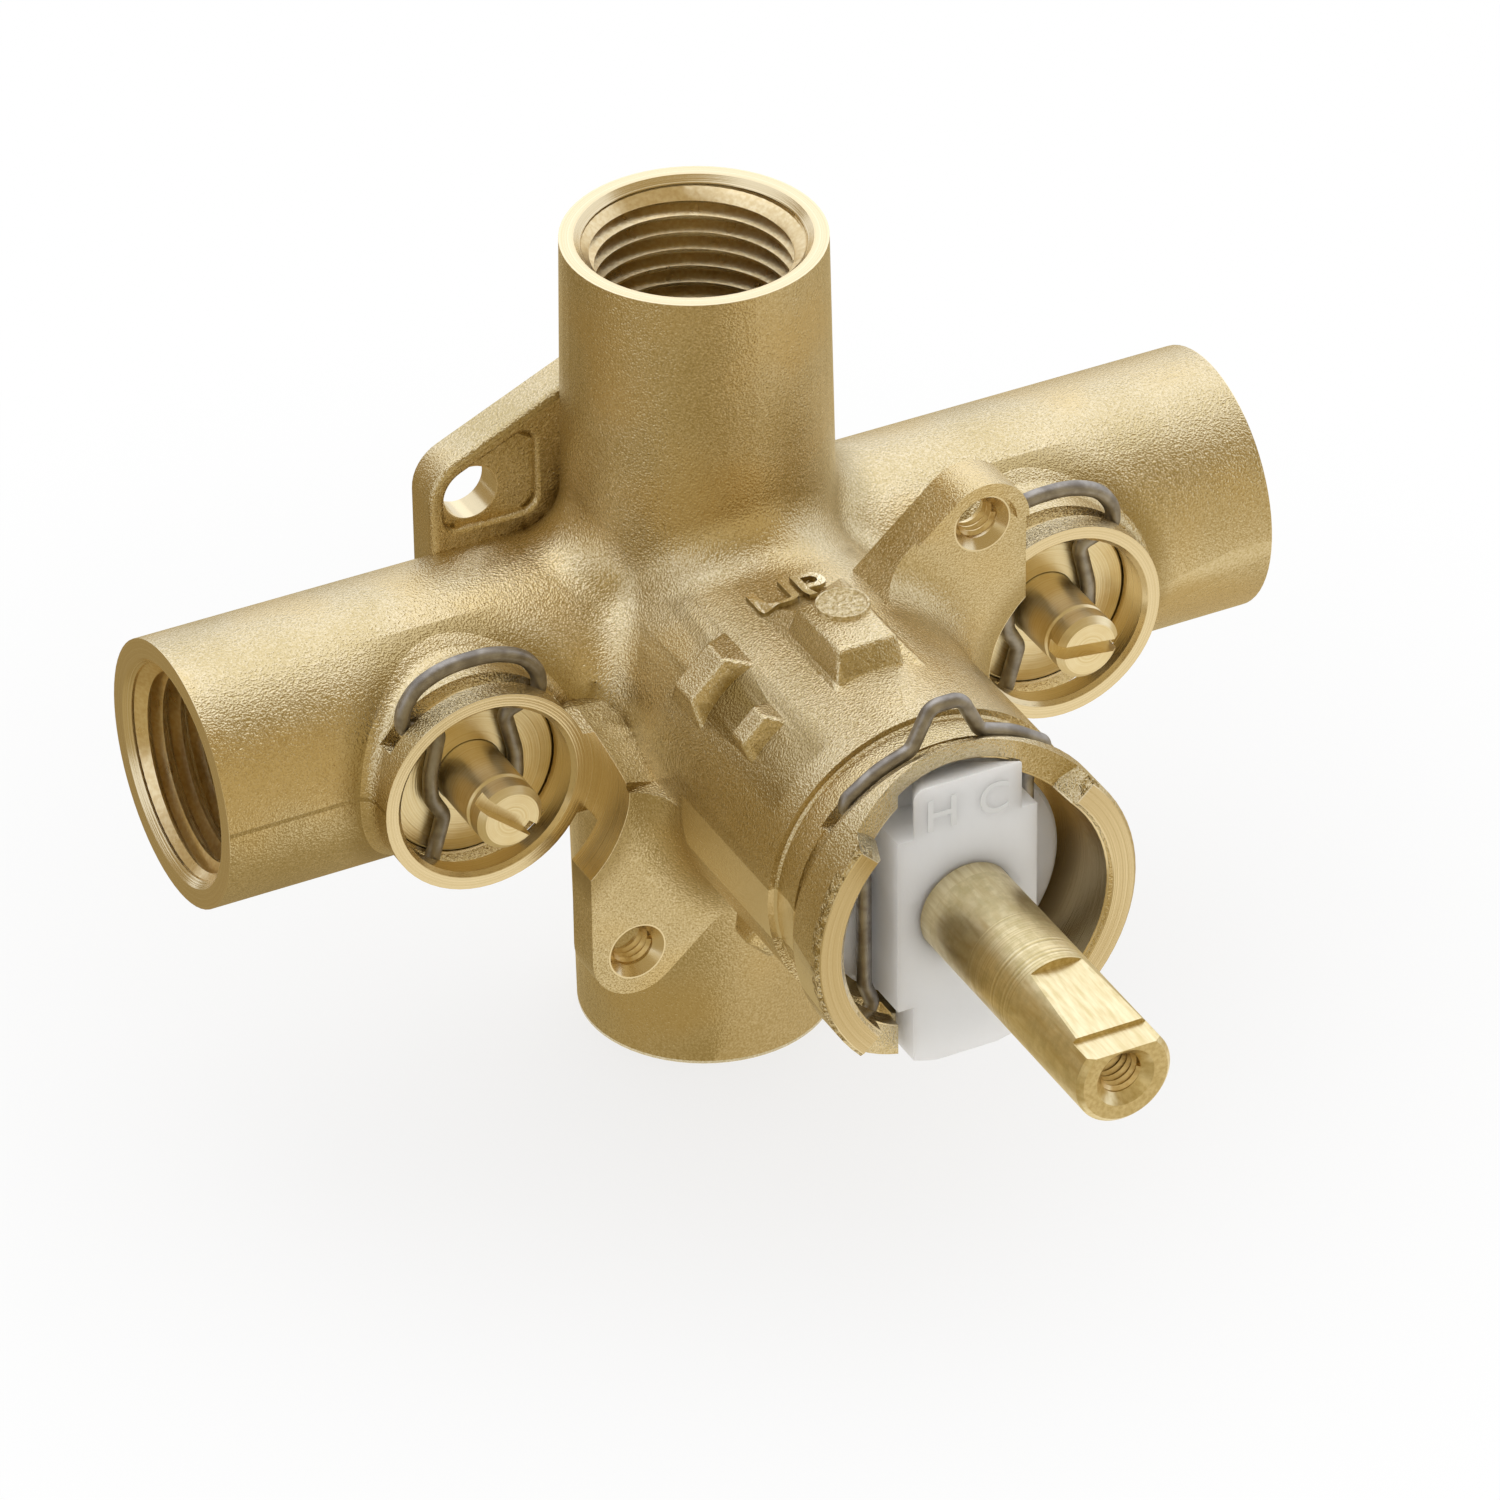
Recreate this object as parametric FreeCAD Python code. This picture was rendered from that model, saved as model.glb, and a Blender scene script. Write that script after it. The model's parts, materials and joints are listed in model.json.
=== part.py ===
import FreeCAD
import Part
import math
import os

# Pressure balancing shower valve: a cast brass rough-in body with two service stops and a
# clip-held balancing cartridge. Millimetres, +Z up, X along the supply run with hot at -X,
# and the stem pointing to the front at -Y. All shapes are drawn about the point where the
# run, the riser and the barrel cross. They are moved when written, so that the origin is the
# centre of the two mounting holes, on the back face of the rear ears.

# Casting: run, riser, barrel and blends
RUN_R = 13.0
RUN_HALF = 54.7
RISER_R = 12.5
RISER_ROOT_R = 13.2
RISER_HALF = 42.5
BARREL_R = 15.8
BACK_Y = 13.5
BARREL_STEP_Y = -44.7
CAST_BLEND = 5.0

# Barrel mouth
NECK_R = 15.0
GROOVE_Y = -48.2
GROOVE_R = 14.85
COLLAR_Y = -49.95
COLLAR_R = 16.4
RIM_Y = -55.5
MOUTH_R = 13.45
SEAT_Y = -44.0
BORE_R = 11.2
BORE_END_Y = 9.5
RIM_GAP_Y = -51.0
RIM_GAP_R = 27.0
LAND_ANGLES = (41.0, 48.0)
KEYWAY_HALF = 6.2
KEYWAY_ROOF_R = 14.6
CLIP_SLOT_TOP_X = 7.4
CLIP_SLOT_END_X = 13.8
CLIP_SLOT_Z = 9.2

# Threaded ports, bored to the thread's major radius
PORT_R = 10.45
PORT_DEPTH = 14.0
PORT_MOUTH_R = 11.1
PORT_PASSAGE_R = 7.5
OUTLET_PASSAGE_R = 6.0

# Service stops
STOP_X = 30.15
STOP_RIM_Y = -16.4
STOP_BOSS_R = 10.36
STOP_BORE_R = 8.71
STOP_BOSS_BLEND = 1.5
STOP_SEAT_Y = 3.0
STOP_SEAT_R = 4.5
STOP_POCKET_Y = 9.0
CROSS_PASSAGE_Y = 6.0
INLET_Y = 2.2
CROSS_PASSAGE_R = 3.0
STOP_CLIP_Y = -13.2
STOP_SLOT_WIDTH = 1.9
STOP_SLOT_Z = 5.6
STOP_TRAVEL = 3.175
SEAT_GAP = 0.075
SPINDLE_R = 3.3
SPINDLE_TIP_Y = -21.5

# Front ears for the trim screws
EAR_Y = -22.4
EAR_THICK = 4.0
EAR_HOLE = 18.15
EAR_END_R = 4.6
EAR_SLOPE = 41.0
EAR_LIP = 1.3
EAR_LIP_RISE = 0.7
EAR_BLEND = 4.5
EAR_WEB_Y = -9.0
EAR_WEB_Z = 5.2
TRIM_HOLE_R = 2.0
TRIM_SINK_R = 2.8
STOP_CLEAR_R = 11.4

# Rear ears for the wall screws
REAR_BACK_Y = 10.5
REAR_FRONT_Y = 6.4
REAR_POCKET = 0.9
REAR_BORDER = 1.5
REAR_POCKET_X = 13.7
REAR_POCKET_Z = 13.2
REAR_POCKET_ROUND = 1.4
REAR_EDGE_ROUND = 0.8
REAR_RIM_ROUND = 0.5
REAR_HOLE_X = 20.1
REAR_HOLE_Z = 16.4
REAR_HOLE_R = 2.75
REAR_END_R = 4.5
REAR_SLOPE = 24.0

# Raised marks on top of the barrel
BLOCK_TOP = (6.2, 7.2)
BLOCK_FOOT = (12.8, 27.8)
BLOCK_Y = -29.5
BLOCK_FOOT_Y = -27.4
BLOCK_FOOT_Z = 15.0
BLOCK_Z = 17.0
LUG_ANGLE = 45.0
MARK_ROUND = 0.6

# Cartridge
SHELL_R = 10.9
SHELL_BORE_R = 8.0
SHELL_END_Y = 8.0
FLANGE_R = 12.2
FLANGE_Y = -48.3
PLATE_Y = -53.4
PLATE_HALF_X = 7.1
PLATE_HALF_Z = 9.2
TAB_HALF_X = 5.5
TAB_TOP_Z = 14.4
TAB_FLARE = 0.5
TAB_RISE = 0.45
TAB_ROUNDS = (1.3, 0.5)
FOOT_TAB_Z = 15.8
FOOT_TAB_BACK_Y = -49.9
STEM_R = 4.73
STEM_END_Y = -82.8
STEM_FLAT_Y = -70.0
STEM_FLAT_Z = (3.95, 3.39)
STEM_STEP_Y = -79.7
STEM_STEP_Z = 3.0
STEM_TAP_R = 2.0
STEM_TAP_DEPTH = 11.0
STEM_HOLE_R = 4.8
ROTOR_FRONT_Y = -37.5
ROTOR_BACK_Y = -27.0
ROTOR_R = 7.7
SLEEVE_FRONT_Y = -24.5
SLEEVE_BACK_Y = 4.0
SLEEVE_BORE_R = 5.0
SPOOL_R = 4.94
SPOOL_TRAVEL = 1.5
INLET_SEAL_R = 4.2
INLET_R = 2.6
SHELL_ORING_Y = (-41.6, -36.6)

# Spring wire clips
STOP_WIRE_R = 0.75
CLIP_WIRE_R = 0.7
CLIP_Y = -49.1
CLIP_LEG_X = 8.3

ORIGIN = FreeCAD.Vector(0, 0, 0)
AXIS_X = FreeCAD.Vector(1, 0, 0)
AXIS_Y = FreeCAD.Vector(0, 1, 0)
AXIS_Z = FreeCAD.Vector(0, 0, 1)


def point(x, y, z):
    return FreeCAD.Vector(x, y, z)


def rod(radius, start, end):
    """Cylinder from one point to another."""
    return Part.makeCylinder(radius, (end - start).Length, start, end - start)


def rod_y(radius, front, back, x=0.0, z=0.0):
    """Cylinder along Y between two Y values."""
    return rod(radius, point(x, front, z), point(x, back, z))


def sink(radius, small, start, end):
    """Cone from one radius at the start to another at the end."""
    return Part.makeCone(radius, small, (end - start).Length, start, end - start)


def box(x, y, z):
    """Box between pairs of low and high values."""
    corner = point(x[0], y[0], z[0])
    return Part.makeBox(x[1] - x[0], y[1] - y[0], z[1] - z[0], corner)


def turned(profile, x=0.0):
    """Solid of revolution about a Y axis from a closed list of (radius, y)."""
    corners = [point(r, y, 0) for r, y in profile]
    face = Part.Face(Part.makePolygon(corners + corners[:1]))
    return face.revolve(ORIGIN, AXIS_Y, 360).translated(point(x, 0, 0))


def ring(radius, wire, y, x=0.0):
    """O-ring about a Y axis."""
    return Part.makeTorus(radius, wire, point(x, y, 0), AXIS_Y)


def prism(face, front, back):
    """Face drawn at y = 0, extruded between two Y values."""
    return face.translated(point(0, front, 0)).extrude(point(0, back - front, 0))


def half_turn(shape):
    """The same feature on the other side of the barrel axis."""
    return shape.rotated(ORIGIN, AXIS_Y, 180)


def tapered(top, foot, height, sunk, ahead=0.0):
    """Raised block with sloping sides, drawn upright on z = 0 and sunk below it."""
    levels = ((foot, -sunk, 0.0), (top, height, ahead))
    wires = []
    for (width, length), z, y in levels:
        w, l = width / 2, length / 2
        corners = [point(-w, y - l, z), point(w, y - l, z), point(w, y + l, z), point(-w, y + l, z)]
        wires.append(Part.makePolygon(corners + corners[:1]))
    block = Part.makeLoft(wires, True)
    shown = [edge for edge in block.Edges if edge.BoundBox.ZMax > height - 0.01]
    return block.makeFillet(MARK_ROUND, shown)


def bent_wire(corners, bends, radius):
    """Round wire through the corners, with a bend radius at each inner corner."""
    edges = []
    last = corners[0]
    for i in range(1, len(corners) - 1):
        back = (corners[i - 1] - corners[i]).normalize()
        ahead = (corners[i + 1] - corners[i]).normalize()
        half = back.getAngle(ahead) / 2
        reach = bends[i - 1] / math.tan(half)
        inward = (back + ahead).normalize()
        centre = corners[i] + inward * (bends[i - 1] / math.sin(half))
        start = corners[i] + back * reach
        end = corners[i] + ahead * reach
        if (start - last).Length > 0.01:
            edges.append(Part.makeLine(last, start))
        edges.append(Part.Arc(start, centre - inward * bends[i - 1], end).toShape())
        last = end
    edges.append(Part.makeLine(last, corners[-1]))
    section = Part.makeCircle(radius, corners[0], corners[1] - corners[0])
    return Part.Wire(edges).makePipeShell([Part.Wire(section)], True, True)


def quarter_casting():
    """Run, riser, barrel and stop boss for x <= 0 and z >= 0, with the cast blends."""
    quarter = box((-60, 0), (-60, 60), (0, 60))
    run = rod(RUN_R, ORIGIN, point(-RUN_HALF, 0, 0))
    riser = sink(RISER_ROOT_R, RISER_R, ORIGIN, point(0, 0, RISER_HALF))
    barrel = rod_y(BARREL_R, BACK_Y, BARREL_STEP_Y)
    cast = run.multiFuse([riser, barrel]).common(quarter).removeSplitter()
    meets = []
    for edge in cast.Edges:
        span = edge.BoundBox
        inner = span.XMin > -BARREL_R - 0.1 and span.ZMax < BARREL_R + 0.1
        curved = edge.Curve.TypeId == "Part::GeomBSplineCurve" and span.XLength > 1
        if inner and curved:
            meets.append(edge)
    cast = cast.makeFillet(CAST_BLEND, meets)
    boss = rod_y(STOP_BOSS_R, STOP_RIM_Y, 0, -STOP_X).common(quarter)
    cast = cast.fuse(boss).removeSplitter()
    foot = []
    for edge in cast.Edges:
        span = edge.BoundBox
        beside = -STOP_X - STOP_BOSS_R - 0.1 < span.XMin < -18
        between = STOP_RIM_Y + 0.1 < span.YMin and span.YMax < -5
        if beside and between and span.XLength > 0.4:
            foot.append(edge)
    return cast.makeFillet(STOP_BOSS_BLEND, foot)


def casting():
    """The four quarters as one blended solid."""
    quarter = quarter_casting()
    half = quarter.fuse(quarter.mirror(ORIGIN, AXIS_Z))
    return half.fuse(half.mirror(ORIGIN, AXIS_X)).removeSplitter()


def barrel_mouth():
    """Necked band, turned clip groove and machined collar at the front of the barrel."""
    return turned([
        (0, BARREL_STEP_Y + 3), (BARREL_R, BARREL_STEP_Y + 3), (BARREL_R, BARREL_STEP_Y + 0.9),
        (NECK_R, BARREL_STEP_Y - 0.3), (NECK_R, GROOVE_Y), (GROOVE_R, GROOVE_Y), (GROOVE_R, COLLAR_Y),
        (COLLAR_R - 0.9, COLLAR_Y), (COLLAR_R - 0.25, COLLAR_Y - 0.35), (COLLAR_R, COLLAR_Y - 1),
        (COLLAR_R, RIM_Y + 0.4), (COLLAR_R - 0.4, RIM_Y), (0, RIM_Y),
    ])


def ear_outline(hole_x, hole_z, end_r, slope, foot):
    """Ear with a round end about its hole, a sloping edge on the left and an upright one on the right."""
    run = point(math.cos(math.radians(slope)), 0, math.sin(math.radians(slope)))
    out = point(-run.z, 0, run.x)
    hole = point(hole_x, 0, hole_z)
    tip = hole + out * end_r
    side = hole + AXIS_X * end_r
    crown = hole + (out + AXIS_X).normalize() * end_r
    low = tip - run * foot
    edges = [
        Part.Arc(tip, crown, side).toShape(),
        Part.makeLine(side, point(side.x, 0, 0)),
        Part.makeLine(point(side.x, 0, 0), ORIGIN),
        Part.makeLine(ORIGIN, low),
        Part.makeLine(low, tip),
    ]
    return Part.Face(Part.Wire(edges))


def ear_shoulder():
    """Cast slope below the upper right ear, from its lower edge back to the run and the barrel."""
    stations = (
        (23.0, ((-22.0, -2.0), (-18.0, -3.2), (-13.5, -4.7), (-10.0, -4.7))),
        (13.0, ((-22.0, 0.8), (-18.0, -1.5), (-13.5, -4.0), (-10.0, -4.0))),
    )
    wires = []
    for x, slope in stations:
        corners = [point(x, y, z) for y, z in slope + ((-10.0, 1.2), (-22.0, 1.2))]
        wires.append(Part.makePolygon(corners + corners[:1]))
    return Part.makeLoft(wires, True, True)


def front_ear(lipped):
    """Upper right ear: plate, web to the run and blend to the barrel, with or without a raised lip."""
    outline = ear_outline(EAR_HOLE, EAR_HOLE, EAR_END_R, EAR_SLOPE, 19.0)
    inner = ear_outline(EAR_HOLE, EAR_HOLE, EAR_END_R - EAR_LIP, EAR_SLOPE, 19.0)
    plate = prism(outline, EAR_Y, EAR_Y + EAR_THICK)
    right = box((0, EAR_HOLE + EAR_END_R), (-40, 0), (0, EAR_HOLE))
    below = prism(inner, -40, 0).fuse(right)
    lip = prism(outline, EAR_Y - EAR_LIP_RISE, EAR_Y + 1).cut(below)
    web = prism(outline, EAR_Y, EAR_WEB_Y).common(box((8, 40), (-40, 0), (0, EAR_WEB_Z)))
    cove = Part.makePolygon([
        point(BARREL_R, EAR_Y - EAR_BLEND, 0), point(BARREL_R - 1, EAR_Y - EAR_BLEND, 0),
        point(BARREL_R - 1, EAR_Y + 1, 0), point(BARREL_R + EAR_BLEND, EAR_Y + 1, 0),
        point(BARREL_R + EAR_BLEND, EAR_Y, 0),
    ])
    bow = EAR_BLEND * (1 - math.sqrt(0.5))
    hollow = Part.Arc(
        point(BARREL_R + EAR_BLEND, EAR_Y, 0), point(BARREL_R + bow, EAR_Y - bow, 0),
        point(BARREL_R, EAR_Y - EAR_BLEND, 0),
    ).toShape()
    blend = Part.Face(Part.Wire(cove.Edges + [hollow])).revolve(ORIGIN, AXIS_Y, 360)
    blend = blend.common(prism(outline, EAR_Y - EAR_BLEND, EAR_Y + 1))
    clear = rod_y(STOP_CLEAR_R, -40, STOP_RIM_Y, STOP_X)
    pieces = [web, ear_shoulder(), blend] + ([lip] if lipped else [])
    return plate.multiFuse(pieces).cut(clear)


def trim_hole():
    """Tapped hole with a countersunk mouth in the upper right ear."""
    hole = rod_y(TRIM_HOLE_R, EAR_Y - 2, EAR_Y + EAR_THICK + 2, EAR_HOLE, EAR_HOLE)
    mouth = point(EAR_HOLE, EAR_Y - 0.01, EAR_HOLE)
    return hole.fuse(sink(TRIM_SINK_R, TRIM_HOLE_R, mouth, mouth + AXIS_Y * 0.9))


def rear_ear():
    """Upper left ear with a shallow pocket inside a raised border."""
    outline = ear_outline(REAR_HOLE_X, REAR_HOLE_Z, REAR_END_R, -REAR_SLOPE, 18.0)
    inner = ear_outline(
        REAR_HOLE_X, REAR_HOLE_Z, REAR_END_R - REAR_BORDER, -REAR_SLOPE, 18.0
    )
    plate = prism(outline, REAR_FRONT_Y, REAR_BACK_Y)
    crest = [e for e in plate.Edges if e.BoundBox.YMax < REAR_FRONT_Y + 0.01 and e.BoundBox.ZMax > 15]
    plate = plate.makeFillet(REAR_EDGE_ROUND, [e for e in crest if e.BoundBox.XMax > 10])
    pocket = prism(inner, REAR_FRONT_Y - 1, REAR_FRONT_Y + REAR_POCKET)
    pocket = pocket.common(box((REAR_POCKET_X, 40), (0, 20), (REAR_POCKET_Z, 40)))
    corners = []
    for edge in pocket.Edges:
        place = edge.CenterOfMass
        beside = abs(place.x - REAR_POCKET_X) < 0.01 or abs(place.z - REAR_POCKET_Z) < 0.01
        if beside and edge.BoundBox.YLength > 1.5:
            corners.append(edge)
    pocket = pocket.makeFillet(REAR_POCKET_ROUND, corners)
    ear = plate.cut(pocket)
    rim = []
    for edge in ear.Edges:
        middle = Part.Vertex(edge.valueAt((edge.FirstParameter + edge.LastParameter) / 2))
        on_front = edge.BoundBox.YMax < REAR_FRONT_Y + 0.01
        if on_front and pocket.distToShape(middle)[0] < 0.01:
            rim.append(edge)
    return ear.makeFillet(REAR_RIM_ROUND, rim).mirror(ORIGIN, AXIS_X)


def rear_hole():
    """Screw hole through the upper left ear."""
    return rod_y(REAR_HOLE_R, REAR_FRONT_Y - 2, REAR_BACK_Y + 2, -REAR_HOLE_X, REAR_HOLE_Z)


def barrel_marks():
    """Raised block on top of the barrel and the two lugs beside it."""
    block = tapered(BLOCK_TOP, BLOCK_FOOT, BLOCK_Z - BLOCK_FOOT_Z, 2.0, BLOCK_Y - BLOCK_FOOT_Y)
    marks = [block.translated(point(0, BLOCK_FOOT_Y, BLOCK_FOOT_Z))]
    lugs = (((5.0, 3.2), (8.6, 7.0), -24.2), ((3.4, 2.2), (5.8, 4.8), -34.0))
    for top, foot, y in lugs:
        lug = tapered(top, foot, 1.5, 1.0).translated(point(0, y, BARREL_R))
        marks.append(lug.rotated(ORIGIN, AXIS_Y, -LUG_ANGLE))
    return marks


def port_bore(outward, reach, passage_r, inner):
    """Threaded port along one axis, with a chamfered mouth and a passage inwards."""
    rim = outward * reach
    wall = rod(PORT_R, rim - outward * PORT_DEPTH, rim + outward)
    depth = PORT_MOUTH_R - PORT_R + 0.1
    mouth = sink(PORT_MOUTH_R + 0.1, PORT_R - 0.1, rim + outward * 0.1, rim - outward * depth)
    run_out = sink(PORT_R, passage_r, rim - outward * PORT_DEPTH, rim - outward * (PORT_DEPTH + 2))
    passage = rod(passage_r, outward * inner, rim - outward * (PORT_DEPTH + 1))
    return [wall, mouth, run_out, passage]


def stop_chamber(side):
    """Bore, seat and cross passage of one service stop, with the saw cuts for its clip."""
    x = side * STOP_X
    chamber = rod_y(STOP_BORE_R, STOP_RIM_Y - 1, STOP_SEAT_Y, x)
    lead = sink(STOP_BORE_R + 0.4, STOP_BORE_R, point(x, STOP_RIM_Y, 0), point(x, STOP_RIM_Y + 0.4, 0))
    pocket = rod_y(STOP_SEAT_R, STOP_SEAT_Y - 1, STOP_POCKET_Y, x)
    start = point(x, CROSS_PASSAGE_Y, 0)
    passage = rod(CROSS_PASSAGE_R, start, point(side * (BORE_R - 2), INLET_Y, 0))
    cuts = [chamber, lead, pocket, passage]
    half = STOP_SLOT_WIDTH / 2
    for up in (1, -1):
        saw = rod_y(STOP_BOSS_R + 4.0, STOP_CLIP_Y - half, STOP_CLIP_Y + half, x)
        low, high = sorted((up * STOP_SLOT_Z, up * 20))
        cuts.append(saw.common(box((x - 20, x + 20), (-20, 0), (low, high))))
    return cuts


def rim_gap():
    """Scooped gap in the top of the rim, between sloping walls of the two lands."""
    wires = []
    for angle, y in zip(LAND_ANGLES, (RIM_Y - 1, RIM_GAP_Y - 1.8)):
        rise = 40 * math.tan(math.radians(angle))
        corners = [point(0, y, 0), point(40, y, rise), point(-40, y, rise)]
        wires.append(Part.makePolygon(corners + corners[:1]))
    wedge = Part.makeLoft(wires, True, True)
    steep = prism(Part.Face(wires[1]).translated(point(0, 1.8 - RIM_GAP_Y, 0)), RIM_GAP_Y - 1.8, RIM_GAP_Y)
    foot = point(0, RIM_GAP_Y - RIM_GAP_R, 0)
    return wedge.fuse(steep).common(rod(RIM_GAP_R, foot, foot + AXIS_Z * 25))


def mouth_cuts():
    """Mouth bore, rim gaps, keyways and clip slots at the front of the barrel."""
    cuts = [rod_y(MOUTH_R, RIM_Y - 1, SEAT_Y), rod_y(BORE_R, SEAT_Y - 1, BORE_END_Y)]
    cuts.append(sink(MOUTH_R + 0.5, MOUTH_R, point(0, RIM_Y, 0), point(0, RIM_Y + 0.5, 0)))
    cuts += [rim_gap(), half_turn(rim_gap())]
    key_x = (-KEYWAY_HALF, KEYWAY_HALF)
    key_y = (RIM_Y - 1, COLLAR_Y + 0.4)
    cuts.append(box(key_x, key_y, (0, 20)).common(rod_y(KEYWAY_ROOF_R, *key_y)))
    cuts.append(box(key_x, key_y, (-20, 0)))
    slot_y = (COLLAR_Y + 0.05, GROOVE_Y + 0.6)
    for side in (-1, 1):
        for up, start in ((1, CLIP_SLOT_TOP_X), (-1, KEYWAY_HALF - 0.4)):
            slot_x = sorted((side * start, side * CLIP_SLOT_END_X))
            slot_z = sorted((up * CLIP_SLOT_Z, up * 20.0))
            cuts.append(box(slot_x, slot_y, slot_z))
    return cuts


def valve_body():
    """Cast and machined brass body."""
    rear = rear_ear()
    ears = [front_ear(True), half_turn(front_ear(False)), rear, half_turn(rear)]
    solid = casting().multiFuse([barrel_mouth()] + ears)
    solid = solid.multiFuse(barrel_marks()).removeSplitter()
    cuts = mouth_cuts()
    for hole in (trim_hole(), rear_hole()):
        cuts += [hole, half_turn(hole)]
    for side in (-1, 1):
        outer = STOP_X + STOP_BORE_R - 1
        cuts += port_bore(AXIS_X * side, RUN_HALF, PORT_PASSAGE_R, outer)
        cuts += port_bore(AXIS_Z * side, RISER_HALF, OUTLET_PASSAGE_R, BORE_R - 1)
        cuts += stop_chamber(side)
    return solid.cut(cuts[0].multiFuse(cuts[1:]))


def key_tab():
    """Key on top of the head plate, widest and tallest at its front face."""
    depth = FLANGE_Y - PLATE_Y + 0.2
    wires = []
    for back in (0, depth):
        half = TAB_HALF_X - back * TAB_FLARE
        top = TAB_TOP_Z - back * TAB_RISE
        y = PLATE_Y + back
        corners = [point(-half, y, 0), point(half, y, 0), point(half, y, top), point(-half, y, top)]
        wires.append(Part.makePolygon(corners + corners[:1]))
    tab = Part.makeLoft(wires, True, True)
    for side, radius in zip((-1, 1), TAB_ROUNDS):
        long = [e for e in tab.Edges if e.BoundBox.YLength > 1 and e.BoundBox.ZMin > 10]
        tab = tab.makeFillet(radius, [e for e in long if e.CenterOfMass.x * side > 0])
    return tab


def cartridge_shell():
    """White plastic cartridge shell with its keyed head plate."""
    tube = turned([
        (STEM_HOLE_R, PLATE_Y), (6.0, PLATE_Y), (6.0, FLANGE_Y), (FLANGE_R - 0.4, FLANGE_Y),
        (FLANGE_R, FLANGE_Y + 0.4), (FLANGE_R, SEAT_Y), (SHELL_R, SEAT_Y), (SHELL_R, SHELL_END_Y - 0.6),
        (SHELL_R - 0.6, SHELL_END_Y), (SHELL_BORE_R, SHELL_END_Y), (SHELL_BORE_R, ROTOR_FRONT_Y - 1.5),
        (STEM_HOLE_R, ROTOR_FRONT_Y - 1.5),
    ])
    main = box((-PLATE_HALF_X, PLATE_HALF_X), (PLATE_Y, FLANGE_Y), (-PLATE_HALF_Z, PLATE_HALF_Z))
    foot_y = (PLATE_Y, FOOT_TAB_BACK_Y)
    foot = box((-TAB_HALF_X, TAB_HALF_X), foot_y, (-FOOT_TAB_Z, 0)).common(rod_y(COLLAR_R - 0.3, *foot_y))
    shell = tube.multiFuse([main, foot, key_tab()]).removeSplitter()
    cuts = [rod_y(STEM_HOLE_R, PLATE_Y - 1, ROTOR_FRONT_Y)]
    for y in SHELL_ORING_Y:
        cuts.append(rod_y(SHELL_R + 1, y - 1, y + 1).cut(rod_y(9.45, y - 1, y + 1)))
    for side in (-1, 1):
        outside = point(side * 13, INLET_Y, 0)
        cuts.append(rod(INLET_SEAL_R + 0.05, point(side * 9.3, INLET_Y, 0), outside))
        cuts.append(rod(INLET_R, point(side * 7, INLET_Y, 0), outside))
        cuts.append(box((-3.5, 3.5), (-24, -12), sorted((side * 7, side * 13))))
        cuts.append(box((-6, 6), (-20, 6.5), sorted((side * 9.2, side * 13))))
    return shell.cut(cuts[0].multiFuse(cuts[1:]))


def cartridge_rear_cap():
    """Plug that closes the back of the shell, with a finger-sized recess."""
    plug_r = SHELL_BORE_R - 0.03
    return turned([
        (0, SLEEVE_BACK_Y + 0.2), (plug_r, SLEEVE_BACK_Y + 0.2), (plug_r, SHELL_END_Y),
        (9.0, SHELL_END_Y), (9.0, SHELL_END_Y + 1.0), (3.0, SHELL_END_Y + 1.0), (3.0, 6.0), (0, 6.0),
    ])


def inlet_seal(side):
    """Rubber bush between the shell's inlet window and the body bore."""
    start = point(side * 9.35, INLET_Y, 0)
    end = point(side * 13, INLET_Y, 0)
    bush = rod(INLET_SEAL_R, start, end).cut(rod(INLET_R, start, end))
    return bush.common(rod_y(BORE_R - 0.02, -10, BORE_END_Y))


def balance_sleeve():
    """Fixed sleeve with two rows of metering windows for the spool."""
    sleeve = turned([
        (SLEEVE_BORE_R, SLEEVE_FRONT_Y), (7.4, SLEEVE_FRONT_Y), (SHELL_BORE_R - 0.05, SLEEVE_FRONT_Y + 0.6),
        (SHELL_BORE_R - 0.05, -19), (6.6, -19), (6.6, -11), (SHELL_BORE_R - 0.05, -11),
        (SHELL_BORE_R - 0.05, -1), (6.6, -1), (6.6, 3), (SHELL_BORE_R - 0.05, 3),
        (SHELL_BORE_R - 0.05, SLEEVE_BACK_Y), (SLEEVE_BORE_R, SLEEVE_BACK_Y),
    ])
    windows = []
    for turn in range(4):
        for y in (-15.0, 1.0):
            window = rod(1.3, point(0, y, 0), point(10, y, 0))
            windows.append(window.rotated(ORIGIN, AXIS_Y, 90 * turn + 45))
    return sleeve.cut(windows[0].multiFuse(windows[1:]))


def balance_spool():
    """Free shuttle with two lands, a waist and a blind hole in each end."""
    front = SLEEVE_FRONT_Y + SPOOL_TRAVEL + 1.0
    back = SLEEVE_BACK_Y - SPOOL_TRAVEL - 1.0
    return turned([
        (0, front + 4), (2.6, front + 4), (2.6, front), (SPOOL_R - 0.4, front), (SPOOL_R, front + 0.4),
        (SPOOL_R, -13.5), (3.4, -13.0), (3.4, -3.0), (SPOOL_R, -2.5), (SPOOL_R, back - 0.4),
        (SPOOL_R - 0.4, back), (2.6, back), (2.6, back - 4), (0, back - 4),
    ])


def mixing_rotor():
    """Cup on the stem's inner end, with kidney windows that meter hot and cold."""
    cup = turned([
        (0, ROTOR_FRONT_Y + 0.2), (ROTOR_R, ROTOR_FRONT_Y + 0.2), (ROTOR_R, ROTOR_BACK_Y),
        (6.2, ROTOR_BACK_Y), (6.2, ROTOR_FRONT_Y + 3.2), (0, ROTOR_FRONT_Y + 3.2),
    ])
    socket = box((-2.5, 2.5), (ROTOR_FRONT_Y - 1, ROTOR_FRONT_Y + 2.6), (-2.5, 2.5))
    windows = []
    for turn in (0, 180):
        reach = box((4.0, 9.0), (-32.5, -29.0), (-2.6, 2.6))
        windows.append(reach.rotated(ORIGIN, AXIS_Y, turn + 20))
    return cup.cut(socket.multiFuse(windows))


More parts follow.
